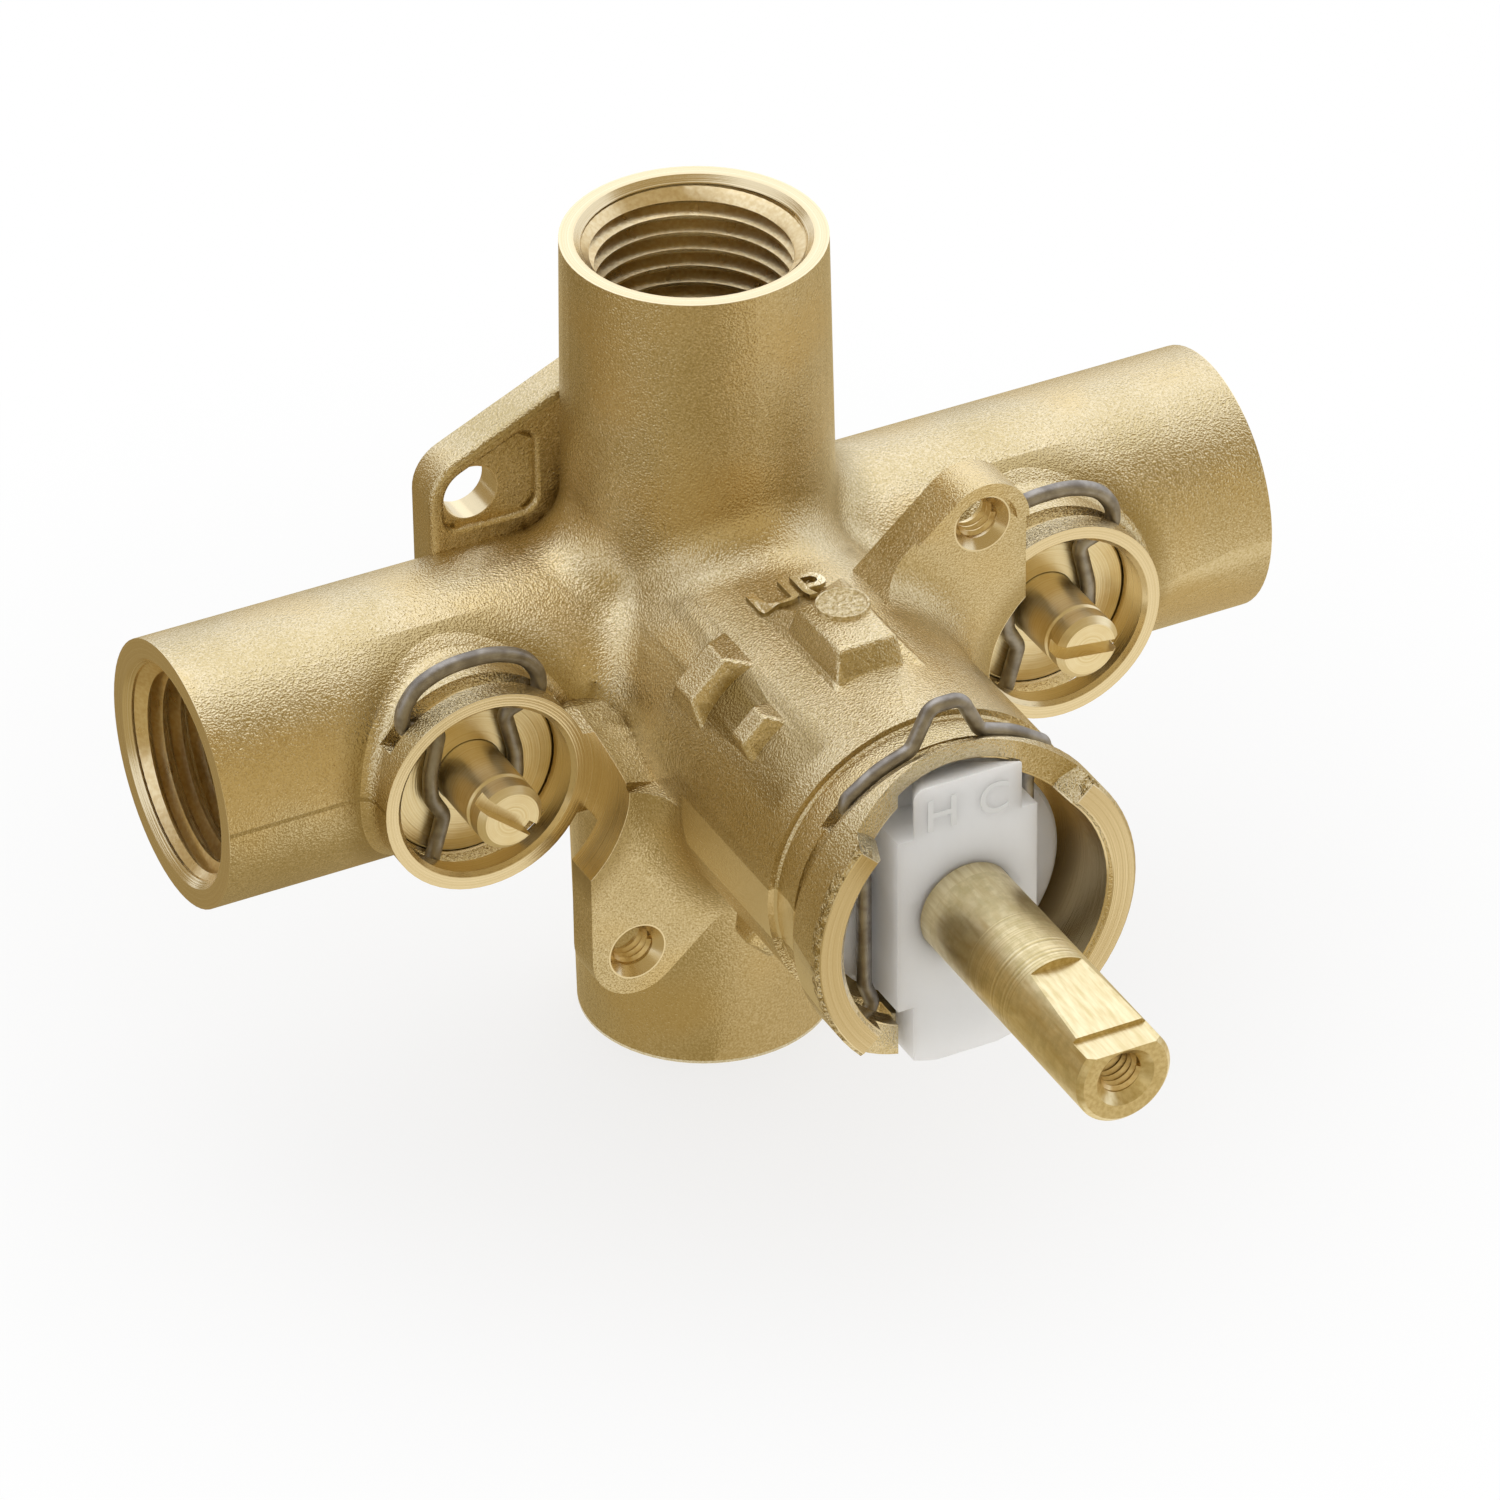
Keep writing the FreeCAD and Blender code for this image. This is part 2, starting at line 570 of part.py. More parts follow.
def cartridge_stem():
    """Turned brass stem with two O-ring grooves, a stepped milled flat and a tapped end."""
    stem = turned([
        (0, STEM_END_Y), (STEM_R - 0.5, STEM_END_Y), (STEM_R, STEM_END_Y + 0.5), (STEM_R, -46.4),
        (3.55, -46.4), (3.55, -44.9), (STEM_R, -44.9), (STEM_R, -42.8), (3.55, -42.8),
        (3.55, -41.3), (STEM_R, -41.3), (STEM_R, ROTOR_FRONT_Y + 0.2), (0, ROTOR_FRONT_Y + 0.2),
    ])
    tongue = box((-2.4, 2.4), (ROTOR_FRONT_Y - 1, ROTOR_FRONT_Y + 2.5), (-2.4, 2.4))
    stem = stem.fuse(tongue)
    side = [
        (STEM_FLAT_Y, 6.0), (STEM_FLAT_Y, STEM_FLAT_Z[0]), (STEM_STEP_Y, STEM_FLAT_Z[1]),
        (STEM_STEP_Y, STEM_STEP_Z), (STEM_END_Y - 1, STEM_STEP_Z), (STEM_END_Y - 1, 6.0),
    ]
    corners = [point(-6, y, z) for y, z in side]
    flat = Part.Face(Part.makePolygon(corners + corners[:1])).extrude(AXIS_X * 12)
    tap = rod_y(STEM_TAP_R, STEM_END_Y - 1, STEM_END_Y + STEM_TAP_DEPTH)
    mouth = sink(2.9, STEM_TAP_R, point(0, STEM_END_Y - 0.01, 0), point(0, STEM_END_Y + 0.9, 0))
    return stem.cut(flat.multiFuse([tap, mouth])).removeSplitter()


def cartridge_clip():
    """Hairpin spring wire with a pull loop, arms in the groove and legs in the mouth's slots."""
    right = [
        (1.55, 19.75), (3.5, 15.75), (6.8, 14.6), (10.5, 12.1), (CLIP_LEG_X, 9.3),
        (CLIP_LEG_X, -8.3), (CLIP_LEG_X - 0.8, -10.5), (CLIP_LEG_X + 0.2, -12.8),
    ]
    left = [(-x, z) for x, z in reversed(right)]
    corners = [point(x, CLIP_Y, z) for x, z in left + right]
    bends = [1.0, 1.0, 1.6, 0.9, 9.0, 1.4, 1.5]
    return bent_wire(corners, bends + bends[::-1], CLIP_WIRE_R)


def stop_bonnet(x):
    """Turned plug that guides the spindle and is held in by the stop clip."""
    front = STOP_CLIP_Y + STOP_WIRE_R + 0.05
    return turned([
        (3.36, front), (8.4, front), (8.6, front + 0.2), (8.6, -9.6), (7.0, -9.6), (7.0, -7.8),
        (8.6, -7.8), (8.6, -5.5), (8.2, -5.1), (3.36, -5.1), (3.36, -6.6), (4.72, -6.6),
        (4.72, -8.1), (3.36, -8.1),
    ], x)


def stop_spindle(x, slot_angle):
    """Screwdriver-slotted spindle with a chamfered tip and a button foot."""
    tip = SPINDLE_TIP_Y
    spindle = turned([
        (0, tip), (SPINDLE_R - 0.6, tip), (SPINDLE_R, tip + 0.6), (SPINDLE_R, tip + 2.1),
        (SPINDLE_R - 0.2, tip + 2.3), (SPINDLE_R - 0.2, tip + 2.6), (SPINDLE_R, tip + 2.8),
        (SPINDLE_R, -5.0), (2.1, -5.0), (2.1, -3.3), (0, -3.3),
    ])
    slot = box((-5, 5), (tip - 1, tip + 1.9), (-0.65, 0.65)).rotated(ORIGIN, AXIS_Y, slot_angle)
    return spindle.cut(slot).translated(point(x, 0, 0))


def stop_poppet(x):
    """Cup on the spindle's foot that carries the washer without turning."""
    return turned([
        (2.15, -4.9), (4.6, -4.9), (6.9, -3.4), (6.9, -1.2), (6.3, -1.2), (6.3, -2.4), (0, -2.4),
        (0, -3.2), (2.15, -3.2),
    ], x)


def stop_washer(x):
    """Flat rubber washer that closes on the seat at the end of its travel."""
    face = STOP_SEAT_Y - STOP_TRAVEL - SEAT_GAP
    return turned([(0, face - 2.1), (6.25, face - 2.1), (6.25, face - 0.35), (5.9, face), (0, face)], x)


def stop_clip(x):
    """Spring wire arched over the boss, with legs in front of the bonnet and round the spindle."""
    right = [
        (2.6, 12.75), (5.6, 11.3), (6.95, 9.2), (6.95, 7.2), (3.3, 6.0),
        (4.35, 1.4), (4.35, -1.2), (3.15, -3.4), (4.5, -8.0),
    ]
    left = [(-u, z) for u, z in reversed(right)]
    corners = [point(x + u, STOP_CLIP_Y, z) for u, z in left + right]
    bends = [1.2, 2.0, 5.0, 0.9, 1.0, 3.0, 4.0, 9.0]
    return bent_wire(corners, bends + bends[::-1], STOP_WIRE_R)


def stop_parts(name, side, slot_angle):
    """All loose pieces of one service stop, by node name."""
    x = side * STOP_X
    return {
        name + "_stop_bonnet": stop_bonnet(x),
        name + "_stop_bonnet_oring": ring(7.85, 0.83, -8.7, x),
        name + "_stop_spindle": stop_spindle(x, slot_angle),
        name + "_stop_spindle_oring": ring(4.04, 0.66, -7.35, x),
        name + "_stop_poppet": stop_poppet(x),
        name + "_stop_washer": stop_washer(x),
        name + "_stop_clip": stop_clip(x),
        name + "_inlet_seal": inlet_seal(side),
    }


def cartridge_parts():
    """All loose pieces of the cartridge, by node name."""
    return {
        "cartridge_shell": cartridge_shell(),
        "cartridge_rear_cap": cartridge_rear_cap(),
        "shell_front_oring": ring(10.33, 0.86, SHELL_ORING_Y[0]),
        "shell_rear_oring": ring(10.33, 0.86, SHELL_ORING_Y[1]),
        "balance_sleeve": balance_sleeve(),
        "balance_spool": balance_spool(),
        "mixing_rotor": mixing_rotor(),
        "cartridge_stem": cartridge_stem(),
        "stem_front_oring": ring(4.15, 0.6, -45.65),
        "stem_rear_oring": ring(4.15, 0.6, -42.05),
        "cartridge_clip": cartridge_clip(),
    }


def build():
    nodes = {"valve_body": valve_body()}
    nodes.update(cartridge_parts())
    nodes.update(stop_parts("hot", -1, 40.0))
    nodes.update(stop_parts("cold", 1, 7.0))
    os.makedirs("parts", exist_ok=True)
    for name, shape in nodes.items():
        shape.translated(point(0, -REAR_BACK_Y, 0)).exportStep("parts/" + name + ".step")


build()
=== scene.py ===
import bpy
import json
import math
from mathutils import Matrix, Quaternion, Vector

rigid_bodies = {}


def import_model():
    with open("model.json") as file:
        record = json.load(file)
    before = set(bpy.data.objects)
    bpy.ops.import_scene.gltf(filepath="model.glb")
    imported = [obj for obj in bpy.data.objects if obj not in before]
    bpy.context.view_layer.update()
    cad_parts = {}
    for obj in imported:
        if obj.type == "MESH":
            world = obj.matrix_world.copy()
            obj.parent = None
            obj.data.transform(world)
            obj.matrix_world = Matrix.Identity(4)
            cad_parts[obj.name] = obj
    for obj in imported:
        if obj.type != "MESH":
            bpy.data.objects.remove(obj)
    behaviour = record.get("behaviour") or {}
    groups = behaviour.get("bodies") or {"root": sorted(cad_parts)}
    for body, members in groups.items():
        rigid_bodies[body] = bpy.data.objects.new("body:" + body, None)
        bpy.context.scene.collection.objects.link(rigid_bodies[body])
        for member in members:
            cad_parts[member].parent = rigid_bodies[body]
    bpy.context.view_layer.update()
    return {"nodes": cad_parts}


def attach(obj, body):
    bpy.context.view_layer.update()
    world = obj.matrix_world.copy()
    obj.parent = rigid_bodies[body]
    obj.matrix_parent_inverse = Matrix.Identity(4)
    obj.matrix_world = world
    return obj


for spare in list(bpy.data.objects):
    bpy.data.objects.remove(spare)
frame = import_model()
valve = frame["nodes"]


# Valve body: one brass casting with run, riser, barrel and ears in a single pour.
# Its skin is bead blasted and left satin. The port ends, the stop bosses and the barrel
# mouth are turned afterwards, so they are brighter and carry fine tool rings.

class Wire:
    """One output socket among a material's nodes, so that sums on it read as plain sums."""

    def __init__(self, tree, socket=None):
        self.tree = tree
        self.socket = socket

    def feed(self, sockets, entries):
        """Link a wire to each socket named, or set the socket to a plain value."""
        for key, value in entries.items():
            if isinstance(value, Wire):
                self.tree.links.new(value.socket, sockets[key])
            else:
                sockets[key].default_value = value

    def node(self, kind, settings=None, entries=None, out=0):
        """Any node: its settings go in first, then the values or links of its sockets."""
        made = self.tree.nodes.new("ShaderNode" + kind)
        for name, value in (settings or {}).items():
            setattr(made, name, value)
        self.feed(made.inputs, entries or {})
        return Wire(self.tree, made.outputs[out])

    def sum(self, operation, first, second=0.0):
        return self.node("Math", {"operation": operation}, {0: first, 1: second})

    def __add__(self, other):
        return self.sum("ADD", self, other)

    def __radd__(self, other):
        return self.sum("ADD", other, self)

    def __sub__(self, other):
        return self.sum("SUBTRACT", self, other)

    def __rsub__(self, other):
        return self.sum("SUBTRACT", other, self)

    def __mul__(self, other):
        return self.sum("MULTIPLY", self, other)

    def __rmul__(self, other):
        return self.sum("MULTIPLY", other, self)

    def __pow__(self, other):
        return self.sum("POWER", self, other)

    def __abs__(self):
        return self.sum("ABSOLUTE", self)

    def __gt__(self, other):
        return self.sum("GREATER_THAN", self, other)

    def __lt__(self, other):
        return self.sum("LESS_THAN", self, other)

    def __and__(self, other):
        return self.sum("MULTIPLY", self, other)

    def __or__(self, other):
        return self.sum("MAXIMUM", self, other)

    def axis(self, number):
        return self.node("SeparateXYZ", None, {0: self}, number)

    def stretched(self, scales):
        """The same place with each axis scaled, to draw a grain out along one of them."""
        return self.node("VectorMath", {"operation": "MULTIPLY"}, {0: self, 1: scales})

    def fade(self, low, high, start=0.0, end=1.0):
        """Soft step from one value to another between two limits."""
        limits = {"Value": self, "From Min": low, "From Max": high, "To Min": start, "To Max": end}
        return self.node("MapRange", {"interpolation_type": "SMOOTHSTEP"}, limits)

    def grain(self, scale, detail=2.0, rough=0.5):
        """Noise in the volume, with its scale in turns per millimetre."""
        entries = {"Vector": self, "Scale": scale, "Detail": detail, "Roughness": rough}
        return self.node("TexNoise", None, entries)

    def rings(self, scale):
        """Noise along one value, for tool lines and drawn lines."""
        entries = {"W": self, "Scale": scale, "Detail": 2.0}
        return self.node("TexNoise", {"noise_dimensions": "1D"}, entries)

    def blend(self, first, second):
        """Colour between two, by this value as the share of the second."""
        share, first_colour, second_colour, colour_out = 0, 6, 7, 2
        entries = {share: self, first_colour: first, second_colour: second}
        return self.node("Mix", {"data_type": "RGBA"}, entries, colour_out)

    def relief(self, depth):
        """Bump of this height, its depth in millimetres."""
        return self.node("Bump", None, {"Height": self, "Distance": depth / 1000, "Strength": 1.0})


pipe_y = -0.0105


def new_finish(name):
    """Material with a plain shader, and the place in millimetres from the pipes' crossing."""
    skin = bpy.data.materials.new(name)
    skin.use_nodes = True
    start = Wire(skin.node_tree)
    metres = start.node("TexCoord", out="Object")
    scaled = start.node("VectorMath", {"operation": "SCALE"}, {0: metres, "Scale": 1000.0})
    return skin, start.node("VectorMath", None, {0: scaled, 1: (0.0, -1000 * pipe_y, 0.0)})


def shade(skin, entries):
    shader = skin.node_tree.nodes["Principled BSDF"]
    Wire(skin.node_tree).feed(shader.inputs, entries)


def dress(skin, *names):
    for name in names:
        for part in valve[name].material_slots:
            part.material = skin


def span(first, second):
    return (first * first + second * second) ** 0.5


cast_brass, spot = new_finish("blasted_cast_brass")
x, y, z = spot.axis(0), spot.axis(1), spot.axis(2)
wide, high = abs(x), abs(z)

# where the casting is turned, bored or drilled, in millimetres
stop_x, trim_off, wall_x, wall_z = 30.15, 18.15, 20.1, 16.4
port_radius, run_end, run_floor, riser_end, riser_floor = 11.2, 54.65, 38.0, 42.45, 26.0
boss_radius, boss_face, seat_radius, seat_face = 11.45, -16.3, 9.0, 3.1
mouth_radius, mouth_face, mouth_floor = 13.6, -55.4, -40.0
trim_radius, front_ear, wall_radius, rear_ear = 2.95, -15.0, 2.9, 5.0
off_run, off_riser, off_barrel = span(y, z), span(x, y), span(x, z)
off_stop = span(wide - stop_x, z)
off_trim = span(wide - trim_off, high - trim_off)
off_wall = span(wide - wall_x, high - wall_z)
run_cut = (wide > run_end) | ((off_run < port_radius) & (wide > run_floor))
riser_cut = (high > riser_end) | ((off_riser < port_radius) & (high > riser_floor))
boss_cut = (off_stop < boss_radius) & (y < boss_face)
seat_cut = (off_stop < seat_radius) & (y < seat_face)
stop_cut = boss_cut | seat_cut
mouth_cut = (y < mouth_face) | ((off_barrel < mouth_radius) & (y < mouth_floor))
trim_cut = (off_trim < trim_radius) & (y < front_ear)
wall_cut = (off_wall < wall_radius) & (y > rear_ear)
turned = run_cut | riser_cut | stop_cut | mouth_cut | trim_cut | wall_cut
run_path, riser_path = run_cut * (off_run + wide), riser_cut * (off_riser + high)
stop_path, mouth_path = stop_cut * (off_stop + y), mouth_cut * (off_barrel + y)
tool_lines = (run_path + riser_path + stop_path + mouth_path).rings(5.0)

# parting seam on the hot end, flat ground along the barrel, ground stripe on the cold end
seam_x, seam_y, seam_z, seam_half = -38.0, -8.0, 0.8, 0.2
seam = (x < seam_x) & (y < seam_y) & (abs(z - seam_z) < seam_half)
belt_x, belt_y, belt_z = -12.0, -27.5, -1.05
belt_turn, belt_slope, belt_per_mm = -47.0, 0.3, 0.364
belt = (z - belt_z - (y < belt_turn) * (y - belt_turn) * belt_slope) * belt_per_mm
belted = (x < belt_x) & (y < belt_y) & (abs(belt) < 1.0)
stripe_start, stripe_x, stripe_y, stripe_z = 41.0, 44.0, -9.0, -2.9
stripe_slope, stripe_half = 0.245, 1.5
stripe = abs(z - stripe_z - (x - stripe_x) * stripe_slope) < stripe_half
ground = (x > stripe_start) & (y < stripe_y) & stripe

# torn edges of the barrel mouth, sawn front of the block, and painted shade at the foot of the
# stop bosses
lip_y, lip_radius, lip_half = -54.3, 15.7, 9.0
left_edge = (x < 0.0) & (high < lip_half) & (y < lip_y) & (off_barrel > lip_radius)
gap_y, gap_radius, gap_slope = -54.6, 14.6, 0.84
gap_edge = (y < gap_y) & (off_barrel > gap_radius) & (high > wide * gap_slope)
saw_x, saw_y, saw_width, saw_length, saw_low, saw_top = -0.5, -35.6, 3.0, 1.5, 15.9, 17.8
sawn = (abs(x - saw_x) < saw_width) & (abs(y - saw_y) < saw_length) & (z > saw_low) & (z < saw_top)
foot_edge, foot_dark, foot_end, foot_y = 11.42, 11.5, 14.5, -5.0
boss_foot_shade = (1 - off_stop.fade(foot_dark, foot_end)) & (off_stop > foot_edge) & (y < foot_y)
blasted = spot.grain(4.6, 1.0, 0.6)
ragged = spot.grain(1.5, 2.0, 0.7)
cloud = spot.grain(0.09, 1.0)
torn = (left_edge | gap_edge) * ragged.fade(0.4, 0.62)

dark_skin, pale_skin = (0.57, 0.465, 0.25, 1), (0.80, 0.70, 0.50, 1)
warm_stain, crease_shade = (0.68, 0.505, 0.21, 1), (0.30, 0.215, 0.08, 1)
belt_bright, scale_and_shade_brown = (0.95, 0.86, 0.66, 1), (0.42, 0.32, 0.145, 1)
cut_dark, cut_pale = (0.70, 0.575, 0.34, 1), (0.93, 0.83, 0.62, 1)
bend = spot.node("NewGeometry", out="Pointiness")
cast_tone = (cloud * 0.6 + blasted * 0.9).fade(0.45, 1.05).blend(dark_skin, pale_skin)
cast_tone = (cloud.fade(0.48, 0.68) * 0.45).blend(cast_tone, warm_stain)
# painted shade: where the surface is hollow (low pointiness) the cast tone is darkened to a brown,
# standing in for the shade in creases and fillets
cast_tone = bend.fade(0.42, 0.497).blend(crease_shade, cast_tone)
cast_tone = (belted * 0.8).blend(cast_tone, belt_bright)
# one brown serves real scale on the seam, torn edges and sawn block, and painted shade at the foot
# of the stop bosses
cast_tone = (boss_foot_shade * 0.8 | seam * 0.8 | torn | sawn * ragged).blend(cast_tone, scale_and_shade_brown)
# painted shade: inside the barrel bore the tool rings are held low, so the turned tone stays near
# its dark end
bore_radius = 13.5
bore = (off_barrel < bore_radius) & (y < mouth_floor)
turned_tone = (tool_lines * (1 - bore * 0.9)).blend(cut_dark, cut_pale)
rough_skin = blasted * (1 - (ground | belted) * 0.75) + ragged * (0.3 + torn * 2.5 + sawn * 1.2)
cast_height = rough_skin + seam * 2.0 - belted * (1 - belt * belt) * 2.4
cast_rough = 0.15 + blasted * 0.12 + cloud * 0.06
turned_rough = 0.18 + tool_lines * 0.12
shade(cast_brass, {
    "Base Color": turned.blend(cast_tone, turned_tone),
    "Metallic": 1.0,
    "Roughness": (1 - turned) * cast_rough + turned * turned_rough,
    "Normal": ((1 - turned) * cast_height + turned * tool_lines * 0.2).relief(0.1),
})
dress(cast_brass, "valve_body")


# Port threads: half inch pipe thread, 14 turns to the inch, tapped in each of the four ports
# after the ends are faced. Each is the ridge left standing between the cuts, trimmed at the
# rim by the same cone that chamfers the port's mouth.

def pick(piece, keep):
    """Enter edit mode with only those vertices selected whose place passes the test."""
    bpy.ops.object.mode_set(mode="EDIT")
    bpy.ops.mesh.select_mode(type="VERT")
    bpy.ops.mesh.select_all(action="DESELECT")
    bpy.ops.object.mode_set(mode="OBJECT")
    for corner in piece.data.vertices:
        corner.select = keep(corner.co)
    bpy.ops.object.mode_set(mode="EDIT")


def make_active(piece):
    bpy.ops.object.select_all(action="DESELECT")
    piece.select_set(True)
    bpy.context.view_layer.objects.active = piece


def new_piece(name):
    """The object just added, under its own name."""
    piece = bpy.context.object
    piece.name = piece.data.name = name
    return piece


def settle(piece):
    """Put the piece's place, turn and scale into its mesh, and smooth its round faces."""
    sharpest_smooth = math.radians(38)
    make_active(piece)
    bpy.ops.object.transform_apply(location=True, rotation=True, scale=True)
    bpy.ops.object.shade_smooth_by_angle(angle=sharpest_smooth)


def thread_ridge(name, root, crest, pitch, turns, skin):
    """Ridge of an inside thread about Z, from z = 0 downwards, right handed."""
    root_width, crest_share, steps_per_turn = pitch * 0.92, 0.14, 64
    middle = (root + crest) / 2
    bpy.ops.object.select_all(action="DESELECT")
    bpy.ops.mesh.primitive_plane_add(size=1, rotation=(math.pi / 2, 0, 0))
    ridge = new_piece(name)
    bpy.ops.object.transform_apply(rotation=True)
    bpy.ops.object.mode_set(mode="EDIT")
    bpy.ops.mesh.select_all(action="SELECT")
    bpy.ops.transform.resize(value=(root - crest, 1, root_width))
    bpy.ops.transform.translate(value=(middle, 0, -turns * pitch - pitch / 2))
    pick(ridge, lambda place: place.x < middle)
    bpy.ops.transform.resize(value=(1, 1, crest_share))
    bpy.ops.mesh.select_all(action="SELECT")
    bpy.ops.mesh.delete(type="ONLY_FACE")
    bpy.ops.object.mode_set(mode="OBJECT")
    sweep = ridge.modifiers.new("sweep", "SCREW")
    sweep.axis = "Z"
    sweep.angle = 2 * math.pi
    sweep.screw_offset = pitch
    sweep.iterations = turns
    sweep.steps = sweep.render_steps = steps_per_turn
    bpy.ops.object.modifier_apply(modifier="sweep")
    bpy.ops.object.mode_set(mode="EDIT")
    bpy.ops.mesh.select_all(action="SELECT")
    bpy.ops.mesh.fill_holes(sides=4)
    bpy.ops.mesh.select_all(action="SELECT")
    bpy.ops.mesh.normals_make_consistent(inside=False)
    bpy.ops.object.mode_set(mode="OBJECT")
    ridge.data.materials.clear()
    ridge.data.materials.append(skin)
    return ridge


def copy_of(piece, name):
    """Copy with a mesh of its own."""
    make_active(piece)
    bpy.ops.object.duplicate(linked=False)
    return new_piece(name)


tapped_brass, spot = new_finish("tapped_brass")
chatter = spot.grain(2.2, 3.0)
scuff = spot.grain(0.35, 2.0)
tap_dark, tap_pale = (0.80, 0.64, 0.37, 1), (0.93, 0.80, 0.54, 1)
shade(tapped_brass, {
    "Base Color": chatter.fade(0.3, 0.75).blend(tap_dark, tap_pale),
    "Metallic": 1.0,
    "Roughness": 0.2 + scuff * 0.22,
    "Normal": chatter.relief(0.02),
})
pipe_root, pipe_crest, pipe_pitch, pipe_turns = 0.01052, 0.00925, 0.001814, 7
run_mouth, riser_mouth = 0.0554, 0.0432
cone_foot, cone_rim, cone_depth, cone_middle = 0.0087, 0.0122, 0.0035, -0.0016
port_thread = thread_ridge(
    "shower_port_thread", pipe_root, pipe_crest, pipe_pitch, pipe_turns, tapped_brass)
bpy.ops.mesh.primitive_cone_add(
    vertices=96, radius1=cone_foot, radius2=cone_rim, depth=cone_depth,
    location=(0, 0, cone_middle))
mouth_cone = bpy.context.object
bpy.ops.object.select_all(action="DESELECT")
bpy.context.view_layer.objects.active = port_thread
trim = port_thread.modifiers.new("trim", "BOOLEAN")
trim.operation = "DIFFERENCE"
trim.object = mouth_cone
bpy.ops.object.modifier_apply(modifier="trim")
bpy.data.objects.remove(mouth_cone)
ports = (
    ("hot_port_thread", (-run_mouth, pipe_y, 0), (0, -math.pi / 2, 0)),
    ("cold_port_thread", (run_mouth, pipe_y, 0), (0, math.pi / 2, 0)),
    ("tub_port_thread", (0, pipe_y, -riser_mouth), (math.pi, 0, 0)),
)
for name, place, turn in ports:
    thread = copy_of(port_thread, name)
    thread.location = place
    thread.rotation_euler = turn
    settle(thread)
    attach(thread, "valve")
port_thread.location = (0, pipe_y, riser_mouth)
settle(port_thread)
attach(port_thread, "valve")


# Trim screw threads: the two front ears are tapped right through for the screws that hold
# the trim plate, so a few turns show below each countersunk mouth.

screw_root, screw_crest, screw_pitch = 0.00204, 0.00166, 0.0008
trim_turns, trim_side, trim_y = 3, trim_off / 1000, -0.0318
trim_thread = thread_ridge(
    "upper_trim_thread", screw_root, screw_crest, screw_pitch, trim_turns, tapped_brass)
lower_trim_thread = copy_of(trim_thread, "lower_trim_thread")
for thread, side in ((trim_thread, 1), (lower_trim_thread, -1)):
    thread.location = (side * trim_side, trim_y, side * trim_side)
    thread.rotation_euler = (math.pi / 2, 0, 0)
    settle(thread)
    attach(thread, "valve")


# Cast letters: UP stands on top of the barrel behind the block, so that the body is set the
# right way round in the wall. The letters are part of the casting, low and soft edged.

def letter(name, text, width, height, bold):
    """Flat letter facing up, cut fine, stretched to a width and height about the origin."""
    type_size, merge_within, cuts = height * 1.4, 0.000002, 5
    bpy.ops.object.select_all(action="DESELECT")
    bpy.ops.object.text_add()
    sign = bpy.context.object
    sign.data.body = text
    sign.data.size = type_size
    sign.data.offset = bold
    bpy.ops.object.convert(target="MESH")
    sign = new_piece(name)
    stretch = (width / sign.dimensions.x, height / sign.dimensions.y, 1)
    bpy.ops.object.mode_set(mode="EDIT")
    bpy.ops.mesh.select_all(action="SELECT")
    bpy.ops.mesh.remove_doubles(threshold=merge_within)
    bpy.ops.transform.resize(value=stretch)
    bpy.ops.mesh.subdivide(number_cuts=cuts)
    bpy.ops.object.mode_set(mode="OBJECT")
    bpy.ops.object.origin_set(type="ORIGIN_GEOMETRY", center="BOUNDS")
    sign.location = (0, 0, 0)
    return sign


def raise_letter(sign, rise, face_skin, wall_skin):
    """Lift the face of a flat letter off the ground on walls of its own."""
    sign.data.materials.clear()
    sign.data.materials.append(face_skin)
    sign.data.materials.append(wall_skin)
    bpy.ops.object.mode_set(mode="EDIT")
    bpy.ops.mesh.select_mode(type="FACE")
    bpy.ops.mesh.select_all(action="SELECT")
    bpy.ops.mesh.extrude_region_move(TRANSFORM_OT_translate={"value": (0, 0, rise)})
    bpy.ops.mesh.select_all(action="INVERT")
    sign.active_material_index = 1
    bpy.ops.object.material_slot_assign()
    bpy.ops.mesh.select_all(action="SELECT")
    bpy.ops.mesh.normals_make_consistent(inside=False)
    bpy.ops.object.mode_set(mode="OBJECT")


# letter faces: rubbed bright, and also painted lighter as a painted highlight, as if lit from
# above
rubbed_and_lit_brass, spot = new_finish("rubbed_and_lit_brass")
face_grain = spot.grain(2.6, 2.0, 0.6)
rubbed_lit_dark, rubbed_lit_pale = (0.86, 0.75, 0.50, 1), (0.97, 0.90, 0.72, 1)
shade(rubbed_and_lit_brass, {
    "Base Color": face_grain.fade(0.3, 0.7).blend(rubbed_lit_dark, rubbed_lit_pale),
    "Metallic": 1.0,
    "Roughness": 0.18 + face_grain * 0.14,
    "Normal": face_grain.relief(0.06),
})
# letter walls: brass painted dark, standing in for the shade along the sides of the letters
shaded_wall_brass, spot = new_finish("shaded_wall_brass")
wall_grain = spot.grain(2.0, 2.0, 0.6)
wall_shade_dark, wall_shade_pale = (0.26, 0.19, 0.075, 1), (0.44, 0.34, 0.15, 1)
shade(shaded_wall_brass, {
    "Base Color": wall_grain.fade(0.3, 0.7).blend(wall_shade_dark, wall_shade_pale),
    "Metallic": 1.0,
    "Roughness": 0.34 + wall_grain * 0.16,
    "Normal": wall_grain.relief(0.06),
})
up_height, up_bold, up_rise, up_y, drop_from = 0.0042, 0.00005, 0.00045, -0.0320, 0.04
up_letters = (("letter_u", "U", -0.0029, 0.0040), ("letter_p", "P", 0.0011, 0.0030))
for name, text, up_x, width in up_letters:
    sign = letter(name, text, width, up_height, up_bold)
    sign.location = (up_x, up_y, drop_from)
    settle(sign)
    drop = sign.modifiers.new("drop", "SHRINKWRAP")
    drop.target = valve["valve_body"]
    drop.wrap_method = "PROJECT"
    drop.use_project_z = True
    drop.use_positive_direction = False
    drop.use_negative_direction = True
    bpy.ops.object.modifier_apply(modifier="drop")
    raise_letter(sign, up_rise, rubbed_and_lit_brass, shaded_wall_brass)
    settle(sign)
    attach(sign, "valve")


# Block: the root of the gate through which the metal was poured, sawn to a short block on top
# of the barrel and dressed on a belt. Its sides keep the draft of the mould.

